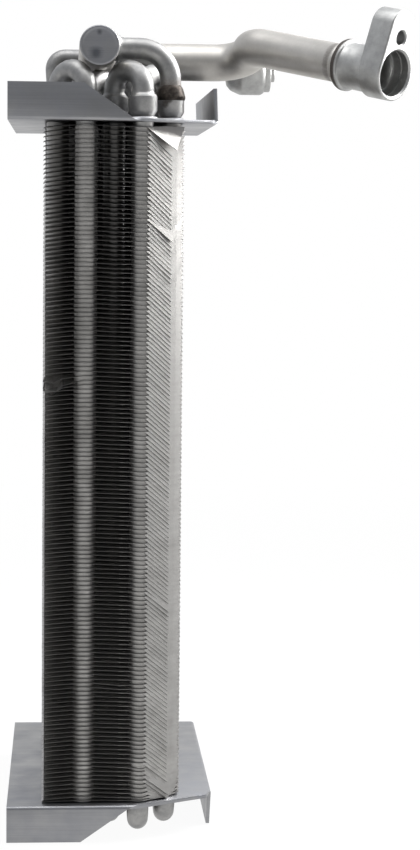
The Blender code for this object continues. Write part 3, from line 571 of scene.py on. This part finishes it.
def makePlate(level, away):
    # the side towards the fins is drawn first; the sheet's thickness grows away from them
    width, depth, foot, tabStart = plate["width"], plate["depth"], plate["flangeFoot"], plate["tabStart"]
    near = modelling["near"]
    part = startSheet((width / 2, depth / 2, level), width, depth)
    corners = [Vector((foot, 0, level)), Vector((*plate["corner"], level)), Vector((width, tabStart, level))]
    for start, end in zip(corners, corners[1:]):
        along = (end - start).normalized()
        cutSheet(start, (along.y, -along.x, 0), clearOuter=True)
    selectPoints(part, lambda p: p.y < near)
    rise = upward * (away * plate["flangeHeight"] * mm)
    bpy.ops.mesh.extrude_region_move(TRANSFORM_OT_translate={"value": rise})
    selectPoints(part, lambda p: p.y < near and p.x > foot - near and abs(p.z - level) > near)
    bpy.ops.transform.translate(value=rightward * ((plate["flangeTop"] - foot) * mm))
    selectPoints(part, lambda p: p.x > width - near and p.y > tabStart - near and abs(p.z - level) < near)
    rise = upward * (away * plate["tabHeight"] * mm)
    lean = -rightward * (plate["tabHeight"] * math.tan(plate["tabLean"]) * mm)
    bpy.ops.mesh.extrude_region_move(TRANSFORM_OT_translate={"value": lean + rise})
    selectPoints(part, lambda p: abs(p.z - level) < near
                 and (p.y < near or (p.x > width - near and p.y > tabStart - near)))
    bpy.ops.mesh.bevel(offset=plate["foldRadius"] * mm, segments=plate["foldSteps"], affect="EDGES")
    bpy.ops.mesh.select_all(action="SELECT")
    bpy.ops.mesh.normals_make_consistent(inside=False)
    mesh = bmesh.from_edit_mesh(part.data)
    flat = max(mesh.faces, key=lambda face: face.calc_area())
    if flat.normal.z * away > 0:
        bpy.ops.mesh.flip_normals()
    bpy.ops.object.mode_set(mode="OBJECT")
    reshape(part, "SOLIDIFY", {"thickness": core["sheet"] * mm, "offset": -1.0, "use_even_offset": True})
    softenEdges(part, plate["edge"], plate["edgeSteps"])
    lips = []
    for row in range(core["rows"]):
        for index in range(core["tubesInRow"]):
            base = tubeAt(row, index, level + away * core["sheet"])
            lips.append(turnedPart(base, upward * away, plate["lip"], plate["lipSides"], fill=False))
    return joinInto(part, lips)


finishPiece(makePlate(core["length"], 1.0), "topEndPlate", "top_end_plate",
            bareMetal("rolledSheetTop", rolledSheet))
finishPiece(makePlate(0.0, -1.0), "bottomEndPlate", "bottom_end_plate",
            bareMetal("rolledSheetBottom", rolledSheet))
print("end plates made")

tubes = {
    "sides": 28,
    "steps": 14,                # along a half turn
    "rimHeight": 10.2,          # of a belled end above the outer face of the top plate
    "lowRimHeight": 8.0,        # where a bend passes under the manifold
    # a belled end, by height over its rim and radius: the bore, the rounded rim, the bell and its taper
    "bell": [(-2.5, 5.0), (-0.3, 5.0), (0.0, 5.3), (0.0, 5.9), (-0.3, 6.2), (-6.6, 6.2), (-7.6, 5.7),
             (-8.6, 5.01), (-9.2, 4.76)],
    # a tube that stands in it, with its fillet of braze: height over the rim, and added radius
    "brazedRoot": [(-3.0, 0.0), (-0.35, 0.3), (0.1, 1.15), (0.45, 0.85), (1.0, 0.25), (1.6, 0.0)],
    "rise": 2.35, "lowRise": 1.65,          # from the rim to where a return bend starts to turn
    "drop": 12.3,               # lowest centre line below the bottom plate
    # the left row's rear ends turn over into the liquid header
    "feedRadius": 9.5, "feedReach": 1.0,
    "headerHeight": 10.0, "headerX": 7.39,
}
# row and place of the two tubes that each return bend of the front pair joins
bendLinks = {"1_2": ((1, 0), (0, 0)), "2_3": ((1, 1), (2, 1)),
             "3_4": ((3, 0), (2, 0)), "4_5": ((3, 1), (4, 1))}


def isLow(row, index):
    return row in (1, 2) and index % 2 == 1


def rimOf(row, index):
    return plateTop + tubes["lowRimHeight" if isLow(row, index) else "rimHeight"]


def makeHairpin(row, pair):
    half = core["tubePitch"] / 2
    first = shifted(tubes["bell"], rimOf(row, 2 * pair))
    part = startRing(tubeAt(row, 2 * pair, first[0][0]), -upward, first[0][1], tubes["sides"])
    pushProfile(first, upward)
    pushRing(-upward * (pen["place"].z - (half - tubes["drop"])))
    turnRing(math.pi, -upward, rearward, half, tubes["steps"])
    if row == 0:
        bendFoot = plateTop + tubes["headerHeight"] - tubes["feedRadius"]
        pushRing(upward * (bendFoot - pen["place"].z))
        turnRing(math.pi / 2, upward, -rightward, tubes["feedRadius"], tubes["steps"] // 2)
        pushRing(-rightward * tubes["feedReach"])
    else:
        last = shifted(tubes["bell"], rimOf(row, 2 * pair + 1))[::-1]
        pushRing(upward * (last[0][0] - pen["place"].z))
        pushProfile(last, upward)
    closeMesh()
    return part


def makeReturnBend(start, end):
    first, second, rim = tubeAt(*start), tubeAt(*end), rimOf(*start)
    root = shifted(tubes["brazedRoot"], rim, core["tubeRadius"])
    part = startProfile(first, upward, root, tubes["sides"])
    pushRing(upward * (rim + tubes["lowRise" if isLow(*start) else "rise"] - pen["place"].z))
    turnRing(math.pi, upward, (second - first).normalized(), (second - first).length / 2, tubes["steps"])
    for height, radius in reversed(root):
        pushRing(upward * (height - pen["place"].z), radius)
    closeMesh()
    return part


tubeMetal = bareMetal("drawnTube", drawnTube)
# two brown patches darken the front of the bell just below its rim, on the hairpin nearest the front on the
# right
bellRim = tubeAt(lastRow, 0, rimOf(lastRow, 0))
bellDarkMarks = [
    {"at": bellRim + Vector((-1.6, -6.0, -0.6)), "full": 2.4, "gone": 3.6, "ragged": 1.2, "depth": 0.85,
     "tint": "#45403C"},
    {"at": bellRim + Vector((-2.8, -5.6, -3.2)), "full": 1.5, "gone": 2.6, "ragged": 1.0, "depth": 0.85,
     "tint": "#45403C"},
]
bellMarkedTube = bareMetal("drawnTubeDarkBell", drawnTube, bellDarkMarks)
for row in range(core["rows"]):
    for pair in range(pairsInRow):
        metal = bellMarkedTube if (row, pair) == (lastRow, 0) else tubeMetal
        finishPiece(makeHairpin(row, pair), "hairpinRow%dPair%d" % (row + 1, pair + 1),
                    "hairpin_row%d_%d" % (row + 1, pair + 1), metal)
print("hairpins made")

for pair in range(pairsInRow):
    for key, ends in bendLinks.items():
        start, end = [(row, 2 * pair + index) for row, index in ends]
        finishPiece(makeReturnBend(start, end), "returnBend%sNo%d" % (key.replace("_", "to"), pair + 1),
                    "return_bend_%s_%d" % (key, pair + 1), tubeMetal)
print("return bends made")

suction = {
    "manifoldX": 40.5, "axisHeight": 32.0, "front": 8.0, "rear": 133.5,
    "radius": 9.0, "wall": 1.5, "sides": 40,
    # the manifold's end from inside its bore round the rim, and the pressed lid on it (a plug in the
    # bore, a turned edge, a faint raised rim and a flat middle): distance from the end, added radius
    "end": [(6.0, -1.5), (0.75, -1.5), (0.75, -0.5), (0.9, -0.16), (1.3, 0.0)],
    "cap": [(3.0, -1.52), (0.8, -1.52), (0.8, -0.35), (0.6, -0.15), (0.3, -0.2), (0.06, -0.5), (0.0, -0.85),
            (0.03, -1.25), (0.16, -1.65), (0.18, -2.15), (0.18, -8.4)],
    # the fillets of braze where the branches and the suction tube leave the manifold, from its axis
    "branchRoot": [(6.0, 0.0), (8.3, 1.7), (9.2, 0.9), (10.2, 0.25), (11.2, 0.0)],
    "tubeRoot": [(4.5, 0.0), (7.4, 1.5), (8.8, 0.9), (10.2, 0.3), (11.6, 0.0)],
    "branchBend": 14.3, "branchSteps": 10,
    "branchDepth": 4.0,         # how deep a branch stands in its socket
    "leavesAt": 108.0, "kneeX": 114.6, "bend": 17.0, "bendSteps": 20,
    "portFace": (175.1, 22.0, 22.1), "portAxis": (0.691, -0.698, -0.187),
    # the bead pressed out of the tube in front of its joint, then the end that stands in the boss
    "bead": [(-33.1, 0.0), (-32.7, 0.25), (-32.3, 0.6), (-31.5, 0.75), (-30.7, 0.6), (-30.3, 0.2),
             (-30.0, 0.0), (-22.5, 0.0)],
}
# the cone of braze round each branch, by height over the socket's rim and radius; its hidden foot is open
collar = {
    "profile": [(-1.4, 6.25), (-1.0, 6.5), (0.1, 6.75), (0.7, 6.6), (3.8, 5.75), (4.7, 5.3), (5.2, 4.8),
                (5.2, 4.5), (-1.4, 4.5)],
    "sides": 32,
    "uneven": 0.45, "outside": 4.7,         # how uneven its skin is above the rim, outside this radius
}
manifoldZ = plateTop + suction["axisHeight"]
portAxis = Vector(suction["portAxis"]).normalized()
portUp = (upward - portAxis * portAxis.z).normalized()
portSide = portUp.cross(portAxis).normalized()
portFace = Vector(suction["portFace"]) + upward * plateTop


def alongPort(distance):
    return portFace + portAxis * distance


def makeManifold():
    base = (suction["manifoldX"], suction["front"], manifoldZ)
    end = shifted(suction["end"], radius=suction["radius"])
    return turnedPart(base, rearward, atBothEnds(end, suction["rear"] - suction["front"]), suction["sides"])


def makeCap(y, inward):
    lid = shifted(suction["cap"], radius=suction["radius"])
    return turnedPart((suction["manifoldX"], y, manifoldZ), rearward * inward, lid, suction["sides"])


def makeBranch(place):
    root = shifted(suction["branchRoot"], radius=core["tubeRadius"])
    part = startProfile((suction["manifoldX"], place.y, manifoldZ), rightward, root, tubes["sides"])
    foot = plateTop + tubes["rimHeight"] - suction["branchDepth"]
    corners = [pen["place"], Vector((place.x, place.y, manifoldZ)), Vector((place.x, place.y, foot))]
    followRoute(corners, suction["branchBend"], suction["branchSteps"])
    closeMesh()
    return part


def makeCollar(joint):
    part = turnedPart(joint, upward, collar["profile"], collar["sides"], fill=False)
    for vertex in part.data.vertices:
        spot = placeOf(vertex.co)
        if spot.z > joint.z and (spot - joint).xy.length > collar["outside"]:
            vertex.co.z += collar["uneven"] * mm * noise.noise(spot * 0.35)
    return part


# flux and heat have darkened the tube where it enters the boss
pipeStains = [
    {"at": alongPort(-34.2), "full": 9.06, "gone": 9.35, "ragged": 0.2, "depth": 0.7, "tint": "#5C5753"},
    {"at": alongPort(-29.3), "full": 9.1, "gone": 9.7, "ragged": 0.6, "depth": 0.95, "tint": "#3B342F"},
]
pipeMetal = bareMetal("bentPipe", bentPipe, pipeStains)
finishPiece(makeManifold(), "suctionManifold", "suction_manifold",
            bareMetal("manifoldPipe", bentPipe))
capMiddle = Vector((suction["manifoldX"], suction["front"], manifoldZ))
# two smudges on the pressed lid
capMarks = [
    {"at": capMiddle + Vector((-1.6, 0, -3.6)), "full": 2.6, "gone": 5.6, "ragged": 3.0, "depth": 0.95,
     "tint": "#4A4D52"},
    {"at": capMiddle + Vector((-0.1, 0, 5.7)), "full": 0.8, "gone": 2.1, "ragged": 0.8, "depth": 0.8,
     "tint": "#35373C"},
]
finishPiece(makeCap(suction["front"], 1.0), "manifoldFrontCap", "manifold_front_cap",
            bareMetal("pressedCap", rolledSheet, capMarks))
finishPiece(makeCap(suction["rear"], -1.0), "manifoldRearCap", "manifold_rear_cap",
            bareMetal("pressedCapRear", rolledSheet))
brazeMaterial = bareMetal("brazeWithFlux", brazeMetal)
for pair in range(pairsInRow):
    joint = tubeAt(lastRow, 2 * pair, plateTop + tubes["rimHeight"])
    # heat has browned the foot of the branch above its joint
    stain = {"at": joint, "full": 7.0, "gone": 12.0, "ragged": 3.0, "depth": 0.7, "tint": "#5E4F43"}
    finishPiece(makeBranch(joint), "branchTube%d" % (pair + 1), "branch_tube_%d" % (pair + 1),
                bareMetal("branchTube%d" % (pair + 1), drawnTube, [stain]))
    finishPiece(makeCollar(joint), "branchCollar%d" % (pair + 1), "branch_collar_%d" % (pair + 1),
                brazeMaterial)
print("manifold and branches made")

block = {
    # the plate, by distance behind the port's face, and its two rounded ends
    "thickness": 12.3, "radius": 12.4, "headRadius": 8.5, "headOffset": 20.5,
    "sides": 64, "headSides": 48,
    "edge": 0.7, "edgeSteps": 3,
    # the boss from its open end to inside the plate: lip, neck and fillet
    "boss": [(-29.5, 9.05), (-29.5, 11.1), (-29.1, 11.7), (-28.4, 12.0), (-26.7, 12.0), (-26.1, 11.65),
             (-25.8, 10.95), (-25.3, 10.7), (-13.7, 10.7), (-12.8, 11.1), (-6.15, 11.1)],
    # the port from its mouth inwards: chamfer, seal land, seal groove, seat and passage
    "port": [(3.0, 12.6), (0.0, 11.35), (-0.9, 10.5), (-3.4, 10.5), (-3.4, 11.0), (-5.0, 11.0), (-5.0, 10.5),
             (-9.0, 10.2), (-9.0, 9.3), (-10.4, 8.7), (-15.0, 8.7), (-15.6, 7.5), (-32.0, 7.5)],
    # the bolt hole, chamfered at both faces
    "boltOffset": 16.3, "boltSides": 40,
    "bolt": [(2.0, 5.95), (-0.7, 3.25), (-11.6, 3.25), (-14.3, 5.95)],
    # the bead of braze round the tube where it enters the boss, by distance from the boss's end
    "braze": [(-2.0, 9.02), (-1.7, 9.3), (-0.9, 9.9), (-0.3, 10.7), (0.15, 11.3), (0.15, 8.9), (-2.0, 8.9)],
    "brazeSides": 56,
    "brazeUneven": 0.35, "brazeOutside": 9.1,       # how uneven its skin is, outside this radius
    "smoothAngle": 32.0,
}


def makeSuctionTube():
    root = shifted(suction["tubeRoot"], radius=suction["radius"])
    bead = shifted(suction["bead"], radius=suction["radius"])
    leaves = Vector((suction["manifoldX"], suction["leavesAt"], manifoldZ))
    part = startProfile(leaves, rightward, root, suction["sides"])
    firstKnee = Vector((suction["kneeX"], suction["leavesAt"], manifoldZ))
    secondKnee = portFace - portAxis * ((portFace.x - suction["kneeX"]) / portAxis.x)
    followRoute([pen["place"], firstKnee, secondKnee, alongPort(bead[0][0])], suction["bend"],
                suction["bendSteps"])
    pushProfile(bead, portAxis)
    faceOutward()
    reshape(part, "SOLIDIFY", {"thickness": suction["wall"] * mm, "offset": -1.0})
    return part


def turnPort(part):
    # from the block's own frame, with its face at the base and its bolt hole up, to its place on the core
    turn = Matrix((portSide, portUp, portAxis)).transposed().to_4x4()
    part.matrix_world = Matrix.Translation(at(portFace)) @ turn @ Matrix.Translation(-cornerPoint)
    makeActive(part)
    settlePlace()


def makeSuctionBlock():
    deselectAll()
    thick = block["thickness"]
    bpy.ops.mesh.primitive_cylinder_add(vertices=block["sides"], radius=block["radius"] * mm,
                                        depth=thick * mm, location=at((0, 0, -thick / 2)))
    part = bpy.context.object
    settlePlace()
    bpy.ops.object.mode_set(mode="EDIT")
    bpy.ops.mesh.primitive_cylinder_add(vertices=block["headSides"], radius=block["headRadius"] * mm,
                                        depth=thick * mm, location=at((0, block["headOffset"], -thick / 2)))
    bpy.ops.mesh.select_all(action="SELECT")
    bpy.ops.mesh.convex_hull()
    bpy.ops.mesh.select_all(action="SELECT")
    bpy.ops.mesh.dissolve_limited(angle_limit=math.radians(0.5))
    faceOutward()
    softenEdges(part, block["edge"], block["edgeSteps"])
    combine(part, turnedPart((0, 0, 0), upward, block["boss"], block["sides"]), "UNION")
    combine(part, turnedPart((0, 0, 0), upward, block["port"], block["sides"]), "DIFFERENCE")
    bolt = turnedPart((0, block["boltOffset"], 0), upward, block["bolt"], block["boltSides"])
    combine(part, bolt, "DIFFERENCE")
    turnPort(part)
    return part


def makeBrazeRing():
    bossEnd = (0, 0, block["boss"][0][0])
    part = turnedPart(bossEnd, upward, block["braze"], block["brazeSides"], fill=False)
    for vertex in part.data.vertices:
        spot = placeOf(vertex.co)
        if spot.xy.length > block["brazeOutside"]:
            around = math.atan2(spot.y, spot.x) * 2
            vertex.co.z += block["brazeUneven"] * mm * noise.noise(Vector((around, spot.z, 0)))
    turnPort(part)
    return part


finishPiece(makeSuctionTube(), "suctionTube", "suction_tube", pipeMetal)
# heat has darkened the boss's end; the mark is centred far behind it, so only the end is reached
blockStain = {"at": alongPort(-45.0), "full": 21.6, "gone": 22.2, "ragged": 0.3, "depth": 0.95,
              "tint": "#3B342F"}
finishPiece(makeSuctionBlock(), "suctionBlock", "suction_block",
            bareMetal("machinedBlock", machinedBlock, [blockStain]), smooth=block["smoothAngle"])
finishPiece(makeBrazeRing(), "suctionBrazeRing", "suction_braze_ring", brazeMaterial)
print("suction line made")

liquid = {
    "radius": 3.97, "sides": 28, "y": 139.0, "height": 35.8,
    "stepX": 96.0, "step": 16.0, "bend": 6.0, "bendSteps": 10,
    "legTop": 18.9, "legFoot": 20.6,
    "reach": 2.0,               # how far the tube stands in the header and in the fitting
    "headerFront": 42.85, "headerRear": 157.85,
    "headerDome": [(0.0, 1.2), (0.25, 2.6), (0.9, 3.8), (1.9, 4.5), (3.0, 4.76)],
    "fittingHeight": 30.1, "fittingX": 106.8, "fittingSides": 48,
    # the fitting along the tube: brazed root, shoulder, body with a shallow groove, ring and spigot
    "fitting": [(-0.6, 4.2), (0.0, 7.2), (0.7, 8.1), (1.8, 9.4), (3.0, 10.1), (4.4, 10.7), (5.8, 11.3),
                (6.8, 11.65), (7.6, 11.75), (16.6, 11.75), (17.4, 11.55), (18.7, 10.7), (18.9, 10.3),
                (19.0, 10.2), (21.4, 10.2), (21.8, 9.9), (21.9, 9.5), (21.9, 5.6), (22.1, 5.1), (23.9, 5.1),
                (24.15, 4.85), (24.15, 3.8), (23.9, 3.6), (14.0, 3.6)],
}
headerZ = plateTop + tubes["headerHeight"]
fittingFoot = Vector((liquid["fittingX"], liquid["y"], plateTop + liquid["fittingHeight"]))


def makeHeader():
    profile = atBothEnds(liquid["headerDome"], liquid["headerRear"] - liquid["headerFront"])
    return turnedPart((tubes["headerX"], liquid["headerFront"], headerZ), rearward, profile, tubes["sides"])


def makeLiquidTube():
    y, high = liquid["y"], plateTop + liquid["height"]
    start = fittingFoot + rightward * liquid["reach"]
    corners = [start, (liquid["stepX"] + liquid["step"] / 2, y, start.z),
               (liquid["stepX"] - liquid["step"] / 2, y, high), (liquid["legTop"], y, high),
               (liquid["legFoot"], y, headerZ), (tubes["headerX"] + liquid["reach"], y, headerZ)]
    part = startRing(start, -rightward, liquid["radius"], liquid["sides"])
    followRoute(corners, liquid["bend"], liquid["bendSteps"])
    closeMesh()
    return part


finishPiece(makeHeader(), "liquidHeader", "liquid_header", tubeMetal)
finishPiece(makeLiquidTube(), "liquidTube", "liquid_tube", tubeMetal)
fitting = turnedPart(fittingFoot, rightward, liquid["fitting"], liquid["fittingSides"])
fittingStain = {"at": fittingFoot - rightward, "full": 5.0, "gone": 9.5, "ragged": 2.0, "depth": 0.5,
                "tint": "#6E5C4B"}
finishPiece(fitting, "liquidFitting", "liquid_fitting",
            bareMetal("turnedFitting", machinedBlock, [fittingStain]))
print("liquid line made")

# Sizes here are in metres. The lights' places and targets are in millimetres, as the core's own.
studio = {
    "floorSize": 9.0,
    "backdrop": {"distance": 2.6, "width": 1.6, "height": 2.6, "below": 0.3},
    "paper": "#F2F2F0",
    "shownWhite": (0.95, 1.0),      # share of plain white in the paper that is seen, near the core and far
    "fade": (0.25, 1.2),            # distances from the core over which that share changes
    "room": 0.56,                   # the room's light level
    "roomSlope": (-0.08, 0.34, 0.20),       # how it changes to the right, to the rear and upwards
    "roomTint": "#F6F9FF",
    "lights": {
        "softboxRight": {"at": (476, 150, 540), "to": (60, 60, 400), "size": (0.28, 0.42), "watts": 7.5},
        "softboxLow": {"at": (900, 160, 250), "to": (120, 20, 300), "size": (0.36, 0.34), "watts": 1.0},
        "softboxAbove": {"at": (90, -60, 1150), "to": (90, 60, 330), "size": (1.2, 0.7), "watts": 8.0},
    },
}


def paperWhite(name):
    # seamless paper; seen by the camera, in metal and through glass it is nearly plain white
    material = bpy.data.materials.new(name)
    material.use_nodes = True
    tree = material.node_tree
    tree.nodes.clear()
    matt = addNode(tree, "BsdfDiffuse", {"Color": colour(studio["paper"])})
    plain = addNode(tree, "Emission", {"Color": (1, 1, 1, 1), "Strength": 1.0})
    rays = addNode(tree, "LightPath").outputs
    either = addNode(tree, "Math", {"operation": "ADD", "use_clamp": True},
                     {0: rays["Is Camera Ray"], 1: rays["Is Glossy Ray"]})
    anyOf = addNode(tree, "Math", {"operation": "ADD", "use_clamp": True},
                    {0: either.outputs[0], 1: rays["Is Transmission Ray"]})
    place = addNode(tree, "TexCoord").outputs["Object"]
    away = addNode(tree, "VectorMath", {"operation": "LENGTH"}, {0: place})
    share = addNode(tree, "MapRange", {"From Min": studio["fade"][0], "From Max": studio["fade"][1],
                                       "To Min": studio["shownWhite"][0], "To Max": studio["shownWhite"][1]},
                    {"Value": away.outputs["Value"]})
    part = addNode(tree, "Math", {"operation": "MULTIPLY"}, {0: anyOf.outputs[0], 1: share.outputs[0]})
    both = addNode(tree, "MixShader", {}, {0: part.outputs[0], 1: matt.outputs[0], 2: plain.outputs[0]})
    addNode(tree, "OutputMaterial", {}, {"Surface": both.outputs[0]})
    return material


deselectAll()
bpy.ops.mesh.primitive_plane_add(size=studio["floorSize"], location=(0, 0, 0))
floor = bpy.context.object
floor.name = "floor"
floor.data.materials.append(paperWhite("paperFloor"))
deselectAll()
screen = studio["backdrop"]
bpy.ops.mesh.primitive_plane_add(size=1.0, rotation=(math.pi / 2, 0, 0),
                                 location=(0, screen["distance"], screen["height"] / 2 - screen["below"]))
backdrop = bpy.context.object
backdrop.scale = (screen["width"], screen["height"], 1)
settlePlace()
backdrop.name = "backdrop"
backdrop.data.materials.append(paperWhite("paperBackdrop"))

world = bpy.data.worlds.new("softRoom")
bpy.context.scene.world = world
world.use_nodes = True
tree = world.node_tree
tree.nodes.clear()
direction = addNode(tree, "TexCoord").outputs["Generated"]
slope = addNode(tree, "VectorMath", {"operation": "DOT_PRODUCT", 1: studio["roomSlope"]}, {0: direction})
brightness = addNode(tree, "Math", {"operation": "ADD", 1: studio["room"]}, {0: slope.outputs["Value"]})
air = addNode(tree, "Background", {"Color": colour(studio["roomTint"])}, {"Strength": brightness.outputs[0]})
addNode(tree, "OutputWorld", {}, {"Surface": air.outputs[0]})

for name, light in studio["lights"].items():
    lamp = bpy.data.objects.new(name, bpy.data.lights.new(name, "AREA"))
    bpy.context.scene.collection.objects.link(lamp)
    lamp.data.shape = "RECTANGLE"
    lamp.data.size, lamp.data.size_y = light["size"]
    lamp.data.energy = light["watts"]
    lamp.location = at(light["at"])
    lamp.rotation_euler = (at(light["to"]) - at(light["at"])).to_track_quat("-Z", "Y").to_euler()

bpy.context.scene.view_settings.view_transform = "Standard"
print("studio made")
